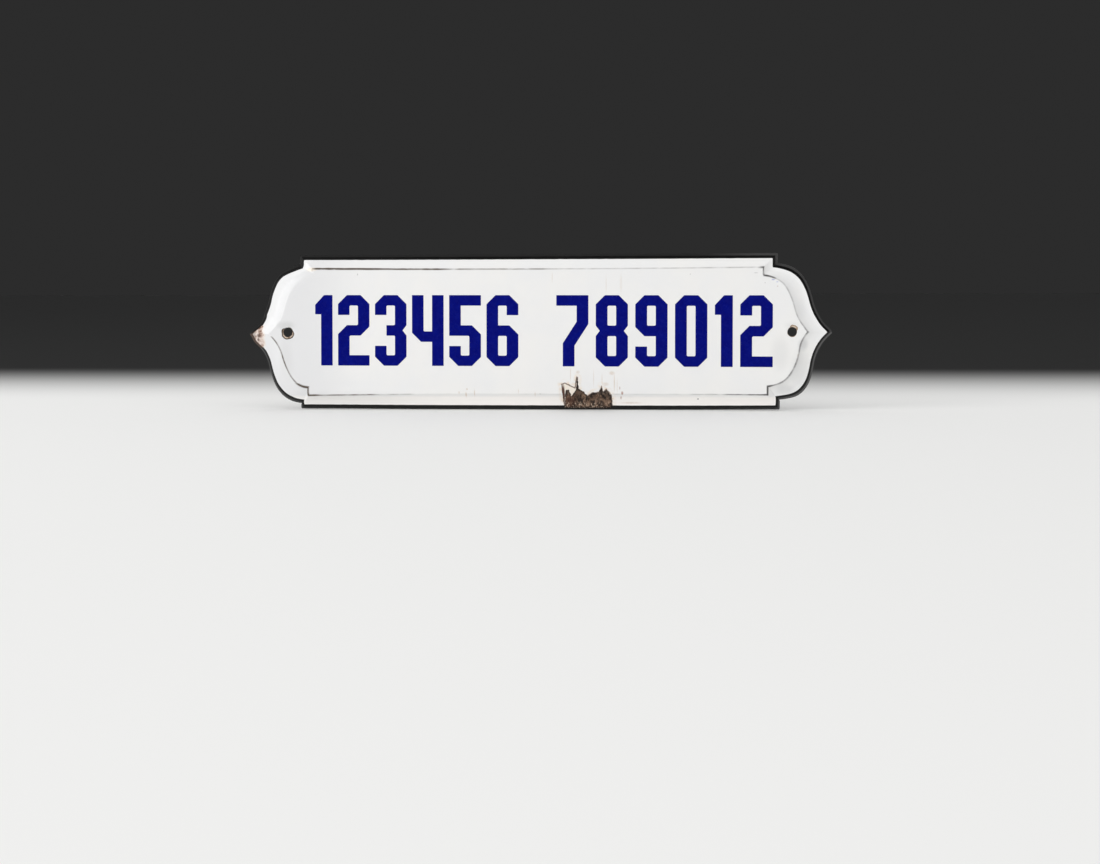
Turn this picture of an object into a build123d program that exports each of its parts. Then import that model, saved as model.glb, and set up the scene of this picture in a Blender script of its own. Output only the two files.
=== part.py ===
from build123d import *
import os
from dataclasses import dataclass
from math import acos, asin, atan2, cos, degrees, radians, sin, sqrt, tan

# An enamelled door plaque, pressed from one sheet of steel.
# A flat raised field is bounded by a sharp crease, a hollow coved border falls away from the crease,
# and the edge is folded back into a narrow rim that stands on the door. Seen from the front, each end
# steps in at its corners, swells into a shoulder and flares out to a point.
#
# The plaque stands upright as it hangs: the front faces -Y, +X is to the right and +Z is up.
# The origin is midway between the two screw holes, on the front face of the raised field.
# Lengths are in millimetres and angles in degrees.

# How far a cut runs on past what it cuts
CUT_MARGIN = 2.0

# The raised field, inside the crease
FIELD_HEIGHT = 83.2
FIELD_STEP_SPAN = 297.6       # between the upright sides of the corner steps
FIELD_STEP_DROP = 5.6
FIELD_SHOULDER_REACH = 18.6   # from a step's side to the waist, where the shoulder turns into the flare
FIELD_WAIST_HEIGHT = 14.7     # above the centre line
FIELD_FLARE_REACH = 9.1       # from the waist to the point of the end

# How the ends curve
SHOULDER_SLOPE = 7.0          # below level, where the shoulder leaves the step
WAIST_SLOPE = 77.0            # below level, where the shoulder turns into the flare
SHOULDER_FULLNESS = 0.73      # 0.6 is near a circle, and more is squarer
CREASE_CORNER_RADIUS = 0.5
CREASE_TIP_RADIUS = 0.7

# The coved border, from the crease out to the edge of the front
BORDER_TOP_WIDTH = 6.2
BORDER_SIDE_WIDTH = 4.2
BORDER_STEP_RISE = 6.6        # how far the foot of a step moves out
BORDER_WAIST_WIDTH = 8.3
BORDER_WAIST_RISE = 5.9       # how far the waist moves up
BORDER_TIP_WIDTH = 11.2
BORDER_DEPTH = 2.8
COVE_TURN = 36.0              # how much the hollow flattens from the crease to the edge

# The sheet and the rim folded back from it
SHEET = 1.5                   # steel with its enamel on both faces
FOLD_INNER_RADIUS = 0.4
RIM_SLOPE = 68.0
RIM_ROUNDING = 0.4            # how much of the rim's width goes into rounding its points
PLAQUE_DEPTH = 7.5            # from the raised field back to the door

# Screw holes
HOLE_DIAMETER = 6.0
HOLE_FROM_FIELD_TIP = 12.0

# Enamel broken away, down to the steel
CHIP_DEPTH = 0.35
# The chip at the lower edge, right of the middle. Its points run round it from its lower left corner,
# each as the distance to the right of that corner and the height above the lower edge of the front.
BOTTOM_CHIP_FROM_MIDDLE = 15.8
BOTTOM_CHIP_POINTS = (
    (1.9, -CUT_MARGIN),
    (0.0, 14.0),
    (2.2, 14.8),
    (8.8, 11.6),
    (9.9, 19.4),
    (10.8, 19.2),
    (10.9, 11.4),
    (16.8, 6.2),
    (20.0, 8.4),
    (25.0, 8.8),
    (26.0, 13.0),
    (27.0, 8.8),
    (28.6, 10.9),
    (31.6, 7.0),
    (32.4, -CUT_MARGIN),
)
# The chip at the left point. Its points run round it, each as the distance to the right of the front's
# left point and the height above the centre line.
TIP_CHIP_POINTS = (
    (-CUT_MARGIN, 0.4),
    (3.4, 4.2),
    (7.6, 4.0),
    (7.0, 0.6),
    (8.6, -2.6),
    (9.4, -6.0),
    (6.2, -9.4),
    (-CUT_MARGIN, -4.0),
)

# How finely the curved cross-sections are divided
COVE_SECTIONS = 5
FOLD_SECTIONS = 4


@dataclass
class Outline:
    """The upper right quarter of the plaque's outline at one depth. The other quarters mirror it."""

    corner_x: float
    top_z: float
    foot_z: float
    waist_x: float
    waist_z: float
    tip_x: float
    corner_radius: float
    tip_radius: float

    def toward(self, other, share):
        """The outline that lies a share of the way from this one to another."""
        mine = vars(self)
        theirs = vars(other)
        return Outline(**{key: mine[key] + (theirs[key] - mine[key]) * share for key in mine})

    def grown(self, band):
        """The outline a band's width outside this one."""
        shoulder = radians(SHOULDER_SLOPE)
        waist = radians(WAIST_SLOPE)
        foot_share = cos(shoulder) - (1 - sin(shoulder)) * tan(shoulder)
        return Outline(
            corner_x=self.corner_x + band,
            top_z=self.top_z + band,
            foot_z=self.foot_z + band * foot_share,
            waist_x=self.waist_x + band * sin(waist),
            waist_z=self.waist_z + band * cos(waist),
            tip_x=self.tip_x + band / sin(self.tip_slope()),
            corner_radius=self.corner_radius,
            tip_radius=self.tip_radius + band * RIM_ROUNDING,
        )

    def chord_slope(self):
        """The slope of the straight line from the waist to the point, in radians."""
        return atan2(self.waist_z, self.tip_x - self.waist_x)

    def tip_slope(self):
        """The slope at which the flare reaches the point, in radians."""
        return 2 * self.chord_slope() - radians(WAIST_SLOPE)

    def shoulder_handles(self):
        """The two control points of the shoulder, on its tangents at the foot and at the waist."""
        start = radians(SHOULDER_SLOPE)
        end = radians(WAIST_SLOPE)
        run = self.waist_x - self.corner_x
        drop = self.foot_z - self.waist_z
        first = SHOULDER_FULLNESS * (run * sin(end) - drop * cos(end)) / sin(end - start)
        last = SHOULDER_FULLNESS * (drop * cos(start) - run * sin(start)) / sin(end - start)
        return (
            (self.corner_x + first * cos(start), self.foot_z - first * sin(start)),
            (self.waist_x - last * cos(end), self.waist_z + last * sin(end)),
        )

    def flare_arc(self):
        """Where the flare meets the rounded point, a place halfway along the flare, and the point."""
        turn = radians(WAIST_SLOPE) - self.chord_slope()
        chord = sqrt((self.tip_x - self.waist_x) ** 2 + self.waist_z**2)
        radius = chord / (2 * sin(turn))
        centre_x = self.waist_x + radius * sin(radians(WAIST_SLOPE))
        centre_z = self.waist_z + radius * cos(radians(WAIST_SLOPE))
        reach = radius + self.tip_radius
        round_x = centre_x - sqrt(reach**2 - centre_z**2)
        end_angle = asin(centre_z / reach)
        start_angle = radians(90 - WAIST_SLOPE)
        middle_angle = (start_angle + end_angle) / 2
        end = (centre_x - radius * cos(end_angle), centre_z - radius * sin(end_angle))
        middle = (centre_x - radius * cos(middle_angle), centre_z - radius * sin(middle_angle))
        return end, middle, (round_x + self.tip_radius, 0)

    def quarter_edges(self, side, up):
        """The corner, step, shoulder and flare of one quarter, from the top towards the point."""

        def place(point):
            return (side * point[0], up * point[1])

        radius = self.corner_radius
        on_top = (self.corner_x - radius, self.top_z)
        corner = (self.corner_x - radius * (1 - sqrt(0.5)), self.top_z - radius * (1 - sqrt(0.5)))
        on_side = (self.corner_x, self.top_z - radius)
        foot = (self.corner_x, self.foot_z)
        waist = (self.waist_x, self.waist_z)
        near_foot, near_waist = self.shoulder_handles()
        flare_end, flare_middle, _ = self.flare_arc()
        return [
            ThreePointArc(place(on_top), place(corner), place(on_side)),
            Line(place(on_side), place(foot)),
            Bezier(place(foot), place(near_foot), place(near_waist), place(waist)),
            ThreePointArc(place(waist), place(flare_middle), place(flare_end)),
        ]

    def section(self, depth):
        """The closed outline as a face, at a depth behind the front of the field."""
        flare_end, _, point = self.flare_arc()
        end_x, end_z = flare_end
        top_x = self.corner_x - self.corner_radius
        edges = self.quarter_edges(1, 1)
        edges.append(ThreePointArc((end_x, end_z), point, (end_x, -end_z)))
        edges += reversed(self.quarter_edges(1, -1))
        edges.append(Line((top_x, -self.top_z), (-top_x, -self.top_z)))
        edges += self.quarter_edges(-1, -1)
        edges.append(ThreePointArc((-end_x, -end_z), (-point[0], 0), (-end_x, end_z)))
        edges += reversed(self.quarter_edges(-1, 1))
        edges.append(Line((-top_x, self.top_z), (top_x, self.top_z)))
        wire = Wire([curve.edge() for curve in edges])
        return Plane.XZ.offset(-depth) * Face(wire)


# The crease and the edge of the front, from which every other outline follows
crease = Outline(
    corner_x=FIELD_STEP_SPAN / 2,
    top_z=FIELD_HEIGHT / 2,
    foot_z=FIELD_HEIGHT / 2 - FIELD_STEP_DROP,
    waist_x=FIELD_STEP_SPAN / 2 + FIELD_SHOULDER_REACH,
    waist_z=FIELD_WAIST_HEIGHT,
    tip_x=FIELD_STEP_SPAN / 2 + FIELD_SHOULDER_REACH + FIELD_FLARE_REACH,
    corner_radius=CREASE_CORNER_RADIUS,
    tip_radius=CREASE_TIP_RADIUS,
)
front_edge = Outline(
    corner_x=crease.corner_x + BORDER_SIDE_WIDTH,
    top_z=crease.top_z + BORDER_TOP_WIDTH,
    foot_z=crease.foot_z + BORDER_STEP_RISE,
    waist_x=crease.waist_x + BORDER_WAIST_WIDTH,
    waist_z=crease.waist_z + BORDER_WAIST_RISE,
    tip_x=crease.tip_x + BORDER_TIP_WIDTH,
    corner_radius=crease.corner_radius,
    tip_radius=crease.tip_radius,
)

# The border's cross-section is an arc, hollow to the front, drawn where it is as wide as at the top
border_chord = degrees(atan2(BORDER_DEPTH, BORDER_TOP_WIDTH))
crease_slope = border_chord + COVE_TURN / 2
edge_slope = border_chord - COVE_TURN / 2
cove_radius = BORDER_TOP_WIDTH / (sin(radians(crease_slope)) - sin(radians(edge_slope)))
cove_centre = (cove_radius * sin(radians(crease_slope)), -cove_radius * cos(radians(crease_slope)))

# The fold's cross-section is an arc about a centre behind the edge of the front
fold_radius = FOLD_INNER_RADIUS + SHEET
fold_centre = (
    -fold_radius * sin(radians(edge_slope)),
    BORDER_DEPTH + fold_radius * cos(radians(edge_slope)),
)


def steps(start, end, count):
    """Evenly spaced values from start to end, both included."""
    return [start + (end - start) * index / count for index in range(count + 1)]


def cove_outlines(radius, first_slope):
    """The outlines down the cove, with their depths, for an arc of this radius about its centre."""
    found = []
    for slope in steps(first_slope, edge_slope, COVE_SECTIONS):
        across = cove_centre[0] - radius * sin(radians(slope))
        depth = cove_centre[1] + radius * cos(radians(slope))
        found.append((crease.toward(front_edge, across / BORDER_TOP_WIDTH), depth))
    return found


def rim_outlines(radius, back):
    """The outlines round the fold and down the rim, with their depths, back to a given depth."""
    found = []
    for slope in steps(edge_slope, RIM_SLOPE, FOLD_SECTIONS)[1:]:
        band = fold_centre[0] + radius * sin(radians(slope))
        depth = fold_centre[1] - radius * cos(radians(slope))
        found.append((front_edge.grown(band), depth))
    last_band = band + (back - depth) / tan(radians(RIM_SLOPE))
    found.append((front_edge.grown(last_band), back))
    return found


def solid_through(outlines):
    """The solid whose sides run straight from each outline to the next."""
    return loft([outline.section(depth) for outline, depth in outlines], ruled=True)


def make_outer_form():
    """The plaque's outside, filled in from the field to the door."""
    return solid_through(cove_outlines(cove_radius, crease_slope) + rim_outlines(fold_radius, PLAQUE_DEPTH))


def make_hollow():
    """The space behind the sheet, which keeps the sheet's thickness all over."""
    radius = cove_radius + SHEET
    first_slope = degrees(acos((SHEET - cove_centre[1]) / radius))
    return solid_through(
        cove_outlines(radius, first_slope) + rim_outlines(FOLD_INNER_RADIUS, PLAQUE_DEPTH + CUT_MARGIN)
    )


def make_screw_holes():
    """The two plain holes, one near each point."""
    hole_x = crease.tip_x - HOLE_FROM_FIELD_TIP
    centres = Locations((-hole_x, 0, 0), (hole_x, 0, 0))
    drill = Rot(90, 0, 0) * Cylinder(HOLE_DIAMETER / 2, 2 * (SHEET + CUT_MARGIN))
    return [centre * drill for centre in centres]


def chip_cutter(corner, points, whole_form):
    """What a chip takes off the front: all that stands proud of the bared steel, inside the chip's points."""
    outline = [(corner[0] + across, corner[1] + up) for across, up in points]
    chip_face = make_face(Polyline(*outline, close=True))
    column = extrude(Plane.XZ.offset(CUT_MARGIN) * chip_face, -(PLAQUE_DEPTH + CUT_MARGIN))
    bared_steel = Pos(0, CHIP_DEPTH, 0) * whole_form
    return column - bared_steel


outer_form = make_outer_form()
plaque = outer_form - make_hollow()
for hole in make_screw_holes():
    plaque -= hole
plaque -= chip_cutter((BOTTOM_CHIP_FROM_MIDDLE, -front_edge.top_z), BOTTOM_CHIP_POINTS, outer_form)
plaque -= chip_cutter((-front_edge.tip_x, 0), TIP_CHIP_POINTS, outer_form)

os.makedirs("parts", exist_ok=True)
export_step(plaque, "parts/plaque.step")
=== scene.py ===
"""The looks of the door plaque: the sheet in full detail, its numerals, a floor, lights and a camera."""

from dataclasses import dataclass
from math import acos, asin, atan2, cos, hypot, pi, radians, sin, sqrt, tan

import bmesh
import bpy
import numpy as np
from mathutils import Matrix, Vector


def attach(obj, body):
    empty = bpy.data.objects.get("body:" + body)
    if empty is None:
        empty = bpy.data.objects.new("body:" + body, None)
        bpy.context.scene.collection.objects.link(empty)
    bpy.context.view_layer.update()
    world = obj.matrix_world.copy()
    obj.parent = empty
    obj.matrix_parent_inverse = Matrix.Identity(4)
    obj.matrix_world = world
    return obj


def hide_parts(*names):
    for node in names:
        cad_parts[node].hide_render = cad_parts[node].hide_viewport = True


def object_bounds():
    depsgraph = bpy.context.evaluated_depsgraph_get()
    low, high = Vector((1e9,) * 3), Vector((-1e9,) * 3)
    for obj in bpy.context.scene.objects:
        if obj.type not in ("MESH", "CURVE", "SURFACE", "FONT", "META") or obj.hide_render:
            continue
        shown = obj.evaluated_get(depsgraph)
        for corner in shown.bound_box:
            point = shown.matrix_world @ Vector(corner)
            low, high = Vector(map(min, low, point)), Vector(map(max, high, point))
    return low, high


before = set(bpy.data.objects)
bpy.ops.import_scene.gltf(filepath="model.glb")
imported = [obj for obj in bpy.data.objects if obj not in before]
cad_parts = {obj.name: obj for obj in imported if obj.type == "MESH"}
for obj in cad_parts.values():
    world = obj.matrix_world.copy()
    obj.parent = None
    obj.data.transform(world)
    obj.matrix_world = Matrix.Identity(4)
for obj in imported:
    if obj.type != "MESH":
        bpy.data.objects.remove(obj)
cad_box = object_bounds()

# Sizes are in millimetres, as in the CAD source, and angles in radians where no comment says degrees.
# Meshes are scaled to metres at the end.
MM = 0.001
TINY = 1e-6

# The raised field, inside the crease
FIELD_HEIGHT = 83.2
FIELD_STEP_SPAN = 297.6
FIELD_STEP_DROP = 5.6
FIELD_SHOULDER_REACH = 18.6
FIELD_WAIST_HEIGHT = 14.7
FIELD_FLARE_REACH = 9.1
SHOULDER_SLOPE = radians(7)
WAIST_SLOPE = radians(77)
SHOULDER_FULLNESS = 0.73
CREASE_CORNER_RADIUS = 0.5
CREASE_TIP_RADIUS = 0.7
CREASE_ROUNDING = 0.5

# The crease was pressed soft at the upper left, over this much to each side of it. It turns soft across
# these stretches.
SOFT_CREASE_REACH = 2.7
SOFT_CREASE_X = (-138, -150)
SOFT_CREASE_Z = (2, 9)

# The coved border
BORDER_TOP_WIDTH = 6.2
BORDER_SIDE_WIDTH = 4.2
BORDER_STEP_RISE = 6.6
BORDER_WAIST_WIDTH = 8.3
BORDER_WAIST_RISE = 5.9
BORDER_TIP_WIDTH = 11.2
BORDER_DEPTH = 2.8
COVE_TURN = radians(36)

# The sheet and its folded rim
SHEET = 1.5
FOLD_INNER_RADIUS = 0.4
RIM_SLOPE = radians(68)
RIM_ROUNDING = 0.4
PLAQUE_DEPTH = 7.5
CUT_EDGE_ROUNDING = 0.2
# About how far it is across the surface from the edge of the front to the cut edge
RIM_REACH = 5.4

# The screw holes
HOLE_RADIUS = 3.0
HOLE_X = 164.5
HOLE_EDGE_ROUNDING = 0.3
HOLE_BACK_ROUNDING = 0.1
HOLE_LEAST_CHIP = 0.1
HOLE_GRID_RADIUS = 5.0

# The chips. Each point is across and up from the front's lower edge, or from its left point.
CHIP_DEPTH = 0.35
CRACKED_DEPTH = 0.12
BOTTOM_CHIP_FROM_MIDDLE = 15.8
BOTTOM_CHIP_POINTS = (
    (1.9, -2), (0, 14), (2.2, 14.8), (8.8, 11.6), (9.9, 18.6), (10.6, 18.4), (10.7, 11.4), (16.8, 6.2),
    (20, 8.4), (25, 8.8), (26, 13), (27, 8.8), (29.2, 10.9), (32.4, 7), (33.2, -2),
)
TIP_CHIP_POINTS = (
    (-7, 3), (0, 5.8), (4.2, 5.4), (6.4, 3.8), (5.6, 0.8), (6.8, -1.6), (6.2, -4.4), (7.2, -7.2),
    (6, -9.8), (1, -12), (-7, -5),
)
# The steel that shows in the bottom chip, inside what has cracked, by the same measures
BOTTOM_CORE_POINTS = (
    (1.9, -2), (2.4, 5), (2.6, 10.3), (4.7, 10.3), (6.4, 6.4), (8.2, 8.2), (9.5, 10.6), (10.1, 18.3),
    (10.5, 18.2), (11.4, 10.8), (14.8, 8.9), (16.9, 6.1), (20.4, 8.2), (23.9, 8.6), (26, 12.4), (27, 8.6),
    (29.1, 10.7), (32.4, 6.1), (32.9, -2),
)
# How far the enamel has broken away round each hole: the direction it is centred on and how wide that
# stretch is to each side, in degrees, and the radius the chip reaches there
LEFT_HOLE_CHIPS = ((-80, 125, 4.7), (170, 50, 4.1), (40, 60, 3.5))
RIGHT_HOLE_CHIPS = ((65, 60, 4.6), (-100, 70, 3.3))

# The plaque was pressed by hand, so its outline lies off true. Each entry is a place along a quarter, how
# far outward and up the crease has moved there, and then the same for the edge of the front. Places run
# from -1 at the middle through 0 at the corner of the step, 1 at its foot and 2 at the waist to 3 at the
# point.
OFF_TRUE = {
    "upper right": (
        (-1, 0, -0.65, 0, 0), (-0.45, 0, -0.45, 0, 0), (-0.12, -2.1, -0.05, -0.4, 0.1),
        (0, -2.9, 0.05, -0.5, 0.1), (0.9, -2.9, 0.6, -0.5, -0.8), (1.1, -1.6, 0.4, -0.3, -0.8),
        (1.4, -0.6, -0.3, -0.6, -0.7), (1.7, -1.3, -0.5, -0.7, -0.2), (2, -1.2, 0, -0.5, 0),
        (2.5, -1.1, 0, -0.6, -0.2), (2.8, -1.1, 0, -0.8, -0.2), (3, -2, 0, -0.8, 0),
    ),
    "lower right": (
        (-1, 0, 1.4, 0, 0), (-0.45, 0, 1.4, 0, 0), (-0.12, 0.1, 1.35, 0.8, 0.2), (0, 0.1, 1, 1.1, 0.3),
        (0.9, 0.1, 1, 1.1, 1.1), (1.1, 0.1, 1.1, 0.5, 1.1), (1.4, 0.4, 0.6, 0.8, -0.5),
        (1.7, 0.6, 0.2, 1.2, -0.3), (2, 1.4, 0, 0.2, 0), (2.5, -0.3, 0, -0.4, 0), (2.8, -1.2, 0, -0.5, 0),
        (3, -2, 0, -0.4, 0),
    ),
    "upper left": (
        (-1, 0, -0.65, 0, 0), (-0.45, 0, -0.5, 0, 0), (-0.18, -0.4, -0.12, 0.8, 0),
        (0, -0.6, 0, 1.4, 0.1), (0.8, -0.6, 3.7, 1.4, 0.1), (0.9, -0.6, 4.2, 1.9, 0.1),
        (1, -0.3, 3.4, 2.4, -0.1), (1.1, 0, 2.6, 1.7, -1.5), (1.3, 0.2, 0.6, 0, -1),
        (1.6, 0.2, 0, 0, 0.4), (2, 0.3, 0, 0.1, 0), (2.5, 0.6, -0.6, -0.1, -0.3),
        (2.8, 0.8, -0.9, 0.1, -0.9), (3, 0.8, -1.1, 0.2, -1.1),
    ),
    "lower left": (
        (-1, 0, 1.4, 0, 0), (-0.6, 0, 1.5, 0, 0), (-0.45, 0, 1.05, 0, 0), (-0.18, 1.6, 0.55, 0.8, 0.2),
        (0, 2.7, 0.1, 1.4, 0.3), (0.9, 2.7, 0.1, 1.4, -1.6), (1.1, 2.5, -0.3, 0.6, -2.1),
        (1.4, 0.7, -0.4, 0.6, -1.8), (1.7, 0.3, -0.5, 0.6, -1), (2, 1, 0, 0.3, 0),
        (2.4, 1.3, -0.3, 0.9, 0), (2.6, 1.3, -0.5, 2, -0.5), (2.8, 1.2, -0.8, 2.6, -1.3),
        (3, 0.8, -1.1, 0.2, -1.1),
    ),
}
# How far to each side of a place its neighbours are taken in, which rounds the joints of the lines
EASED_REACH = 0.12
EASED_SAMPLES = 7
# The inmost row of the mesh round the field moves only this share as far as the crease
INMOST_SHARE = 0.5
# The rim is wider at the upper right step, by this much at its cut edge, down to the second of these places
WIDE_RIM = 0.3
WIDE_RIM_PLACES = (1.6, 1.0)
# The upper side of the left point is dented, by this much at the middle of an oval
POINT_DENT = 1.2
DENT_PLACE = (-183, 6)
DENT_REACH = (12, 6)
# How far short of the edge the white enamel stops along the top, and over which heights that grows
WHITE_SHORT_AT_TOP = 0.45
WHITE_SHORT_Z = (36, 44)

# The dirty stretches of the crease: from x to x, from z to z, how dirty and how wide
GRIME = (
    (-146, -104, 40.6, 44, 1, 0.62), (-104, -60, 39, 44, 0.8, 0.6), (-60, 10, 39, 44, 0.5, 0.6),
    (10, 146, 39, 44, 0.34, 0.55), (-178, -152, -40, -3.4, 0.7, 0.42), (-166, -147, -44, -34, 1, 0.6),
    (-146, -110, -44, -39, 0.58, 0.55), (-110, -84, -44, -39, 0.36, 0.5), (-84, -10, -44, -39, 0.12, 0.5),
    (-10, 100, -44, -39, 0.2, 0.5), (100, 122, -44, -39, 0.34, 0.5), (122, 139, -44, -39, 0.55, 0.5),
    (139, 147, -44, -39, 0.85, 0.45), (147.5, 150, -44, -34, 1.1, 0.6), (145, 149, 34, 44, 0.6, 0.8),
    (148, 152, 34, 39.5, 1, 0.55), (156, 174, 4, 35, 0.36, 0.5), (170, 178, 0, 6, 0.5, 0.5),
    (170, 178, -6, 0, 0.75, 0.5), (151, 175, -40, -4, 0.62, 0.5),
)
GRIME_FADE_X = 4.0
GRIME_FADE_Z = 1.5

# How finely the sheet is divided
FINE_STEP = 0.3
CREASE_ROWS = 5
COVE_ROWS = 34
FOLD_ROWS = 7
BACK_COVE_ROWS = 10
BACK_FOLD_ROWS = 4
RIM_SHARES = (0.25, 0.6, 1.0)
CORNER_POINTS = 4
POINT_POINTS = 4
HOLE_SPOKES = 96
HOLE_GRID_STEP = 0.15
HOLE_DEPTHS = (0.6, 0.9, 1.2, 1.4)
SIDE_SHARES = np.array((0.04, 0.2, 0.5, 0.8, 0.96, 1.0))
SHOULDER_SHARES = np.array((0.006, 0.03, *np.linspace(0.07, 1.0, 26)))
RIGHT_FLARE_SHARES = np.linspace(0, 1, 25)[1:]
LEFT_FLARE_SHARES = np.linspace(0, 1, 61)[1:]
FIELD_BANDS = (2.7, 2.1, 1.6, 1.1, 0.6)
SHARP_ANGLE = radians(38)

# The finely divided patch of the field round the bottom chip
PATCH_LEFT = 8.0
PATCH_RIGHT = 60.0
PATCH_TOP = -24.0

# The two materials of the sheet, and the range of the values stored on its points
FRONT_MATERIAL = 0
BACK_MATERIAL = 1
MASK_RANGE = (-9.0, 20.0)


def smooth(low, high, value):
    """0 below low, 1 above high and an S curve between. With high below low it falls instead."""
    share = np.clip((value - low) / (high - low), 0, 1)
    return share * share * (3 - 2 * share)


@dataclass
class Outline:
    """The upper right quarter of the plaque's outline at one depth. The other quarters mirror it."""

    corner_x: float
    top_z: float
    foot_z: float
    waist_x: float
    waist_z: float
    tip_x: float
    corner_radius: float
    tip_radius: float

    def toward(self, other, share):
        """The outline that lies a share of the way from this one to another."""
        mine = vars(self)
        theirs = vars(other)
        return Outline(**{key: mine[key] + (theirs[key] - mine[key]) * share for key in mine})

    def grown(self, band):
        """The outline a band's width outside this one."""
        foot_share = cos(SHOULDER_SLOPE) - (1 - sin(SHOULDER_SLOPE)) * tan(SHOULDER_SLOPE)
        tip_slope = 2 * self.chord_slope() - WAIST_SLOPE
        return Outline(
            corner_x=self.corner_x + band,
            top_z=self.top_z + band,
            foot_z=self.foot_z + band * foot_share,
            waist_x=self.waist_x + band * sin(WAIST_SLOPE),
            waist_z=self.waist_z + band * cos(WAIST_SLOPE),
            tip_x=self.tip_x + band / sin(tip_slope),
            corner_radius=self.corner_radius,
            tip_radius=self.tip_radius + max(band, 0) * RIM_ROUNDING,
        )

    def chord_slope(self):
        """The slope of the straight line from the waist to the point."""
        return atan2(self.waist_z, self.tip_x - self.waist_x)

    def corner_points(self):
        """The rounded outer corner of the step, from the top's end to the side."""
        turn = np.linspace(pi / 2, 0, CORNER_POINTS + 1)[1:]
        across = self.corner_x - self.corner_radius * (1 - np.cos(turn))
        up = self.top_z - self.corner_radius * (1 - np.sin(turn))
        return np.column_stack([across, up])

    def side_points(self):
        """The upright side of the step, down to its foot."""
        start = self.top_z - self.corner_radius
        up = start + (self.foot_z - start) * SIDE_SHARES
        return np.column_stack([np.full(len(up), self.corner_x), up])

    def shoulder_points(self):
        """The shoulder, a curve from the foot to the waist."""
        run = self.waist_x - self.corner_x
        drop = self.foot_z - self.waist_z
        fullness = SHOULDER_FULLNESS / sin(WAIST_SLOPE - SHOULDER_SLOPE)
        first = fullness * (run * sin(WAIST_SLOPE) - drop * cos(WAIST_SLOPE))
        last = fullness * (drop * cos(SHOULDER_SLOPE) - run * sin(SHOULDER_SLOPE))
        handles = np.array([
            (self.corner_x, self.foot_z),
            (self.corner_x + first * cos(SHOULDER_SLOPE), self.foot_z - first * sin(SHOULDER_SLOPE)),
            (self.waist_x - last * cos(WAIST_SLOPE), self.waist_z + last * sin(WAIST_SLOPE)),
            (self.waist_x, self.waist_z),
        ])
        t = SHOULDER_SHARES
        weights = np.column_stack([(1 - t) ** 3, 3 * t * (1 - t) ** 2, 3 * t * t * (1 - t), t**3])
        return weights @ handles

    def flare_points(self, shares):
        """The hollow flare from the waist to the rounded point, and the rounding itself."""
        chord = hypot(self.tip_x - self.waist_x, self.waist_z)
        radius = chord / (2 * sin(WAIST_SLOPE - self.chord_slope()))
        centre_x = self.waist_x + radius * sin(WAIST_SLOPE)
        centre_z = self.waist_z + radius * cos(WAIST_SLOPE)
        reach = radius + self.tip_radius
        round_x = centre_x - sqrt(reach**2 - centre_z**2)
        start_angle = pi / 2 - WAIST_SLOPE
        end_angle = asin(centre_z / reach)
        angle = start_angle + (end_angle - start_angle) * shares
        flare = np.column_stack([centre_x - radius * np.cos(angle), centre_z - radius * np.sin(angle)])
        angle = np.linspace(end_angle, 0, POINT_POINTS + 1)[1:]
        point = np.column_stack([round_x + self.tip_radius * np.cos(angle), self.tip_radius * np.sin(angle)])
        return np.vstack([flare, point])

    def quarter(self, top_shares, flare_shares):
        """The quarter's points, from the middle of the top to the point of the end."""
        across = (self.corner_x - self.corner_radius) * top_shares
        return np.vstack([
            np.column_stack([across, np.full(len(across), self.top_z)]),
            self.corner_points(),
            self.side_points(),
            self.shoulder_points(),
            self.flare_points(flare_shares),
        ])


crease = Outline(
    corner_x=FIELD_STEP_SPAN / 2,
    top_z=FIELD_HEIGHT / 2,
    foot_z=FIELD_HEIGHT / 2 - FIELD_STEP_DROP,
    waist_x=FIELD_STEP_SPAN / 2 + FIELD_SHOULDER_REACH,
    waist_z=FIELD_WAIST_HEIGHT,
    tip_x=FIELD_STEP_SPAN / 2 + FIELD_SHOULDER_REACH + FIELD_FLARE_REACH,
    corner_radius=CREASE_CORNER_RADIUS,
    tip_radius=CREASE_TIP_RADIUS,
)
front_edge = Outline(
    corner_x=crease.corner_x + BORDER_SIDE_WIDTH,
    top_z=crease.top_z + BORDER_TOP_WIDTH,
    foot_z=crease.foot_z + BORDER_STEP_RISE,
    waist_x=crease.waist_x + BORDER_WAIST_WIDTH,
    waist_z=crease.waist_z + BORDER_WAIST_RISE,
    tip_x=crease.tip_x + BORDER_TIP_WIDTH,
    corner_radius=crease.corner_radius,
    tip_radius=crease.tip_radius,
)

# The columns of the mesh along the straight top and bottom, as shares of their half length
plain_shares = np.linspace(0, 1, 42)
top_reach = crease.corner_x - max(FIELD_BANDS) - CREASE_CORNER_RADIUS
patch_columns = np.arange(PATCH_LEFT, PATCH_RIGHT + FINE_STEP / 2, FINE_STEP)
chipped_shares = np.concatenate([
    [0, PATCH_LEFT / 2 / top_reach],
    patch_columns / top_reach,
    np.linspace(patch_columns[-1] / top_reach, 1, 25)[1:],
])

# The quarters of the outline, clockwise: how each mirrors the upper right one and how it is divided
QUARTERS = {
    "upper right": ((1, 1), plain_shares, RIGHT_FLARE_SHARES),
    "lower right": ((1, -1), chipped_shares, RIGHT_FLARE_SHARES),
    "lower left": ((-1, -1), plain_shares, LEFT_FLARE_SHARES),
    "upper left": ((-1, 1), plain_shares, LEFT_FLARE_SHARES),
}

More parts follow.
